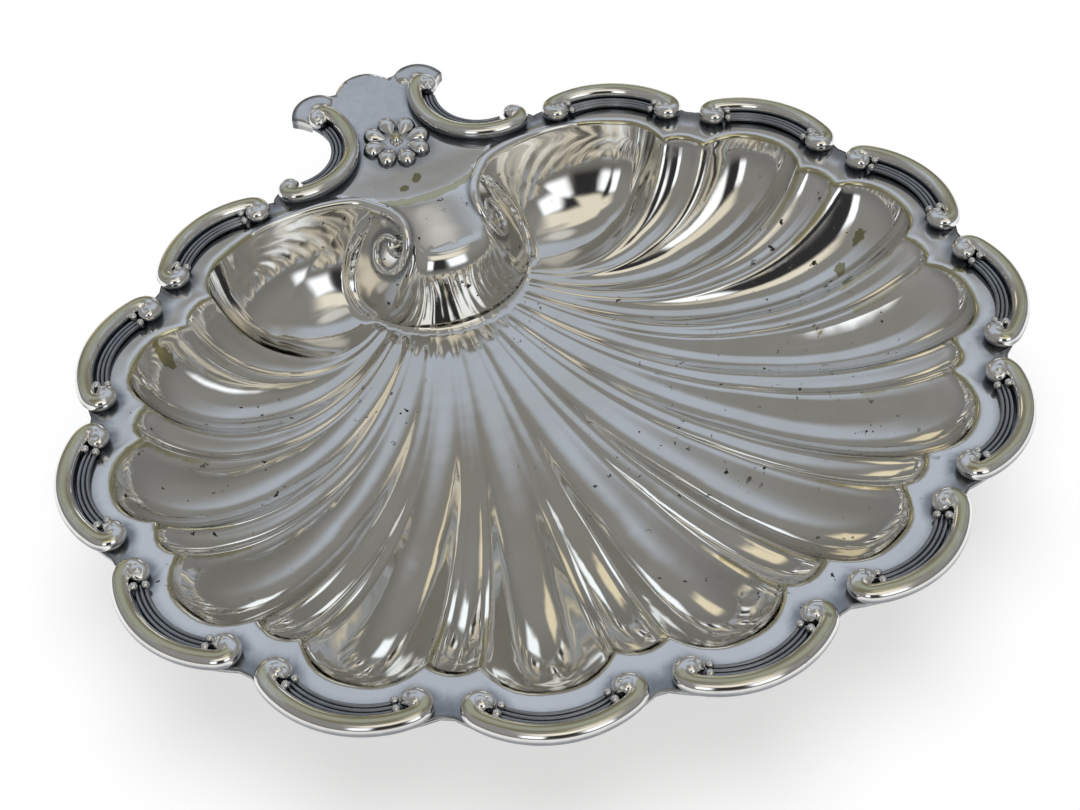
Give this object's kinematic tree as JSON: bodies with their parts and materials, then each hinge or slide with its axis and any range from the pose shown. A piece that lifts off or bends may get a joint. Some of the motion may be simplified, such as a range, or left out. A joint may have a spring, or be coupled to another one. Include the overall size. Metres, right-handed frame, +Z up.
{
  "type": "shell dish",
  "caption": "Shallow fluted serving dish in the form of a scallop shell, with a border of C-scroll mounts, a scrolled handle tab with a rosette, and ball feet.",
  "frame": {"origin": "on the table, under the middle of the dish's bounding box", "axes": "+Z up, +Y towards the handle tab, +X to the right seen from the front of the shell"},
  "size_m": [0.2466, 0.2372, 0.0437],
  "materials": {
    "pan_plate": "polished silver plate on copper, lightly tarnished",
    "mount_plate": "silver-plated cast mounts, dark in the recesses",
    "foot_plate": "silver-plated ball feet"
  },
  "bodies": {
    "root": {"shell_pan": "pan_plate", "border_scroll_01": "mount_plate", "border_scroll_02": "mount_plate", "border_scroll_03": "mount_plate", "border_scroll_04": "mount_plate", "border_scroll_05": "mount_plate", "border_scroll_06": "mount_plate", "border_scroll_07": "mount_plate", "border_scroll_08": "mount_plate", "border_scroll_09": "mount_plate", "border_scroll_10": "mount_plate", "border_scroll_11": "mount_plate", "border_scroll_12": "mount_plate", "border_scroll_13": "mount_plate", "handle_scroll_left": "mount_plate", "handle_scroll_right": "mount_plate", "rosette": "mount_plate", "foot_back": "foot_plate", "foot_front_left": "foot_plate", "foot_front_right": "foot_plate"}
  },
  "joints": []
}
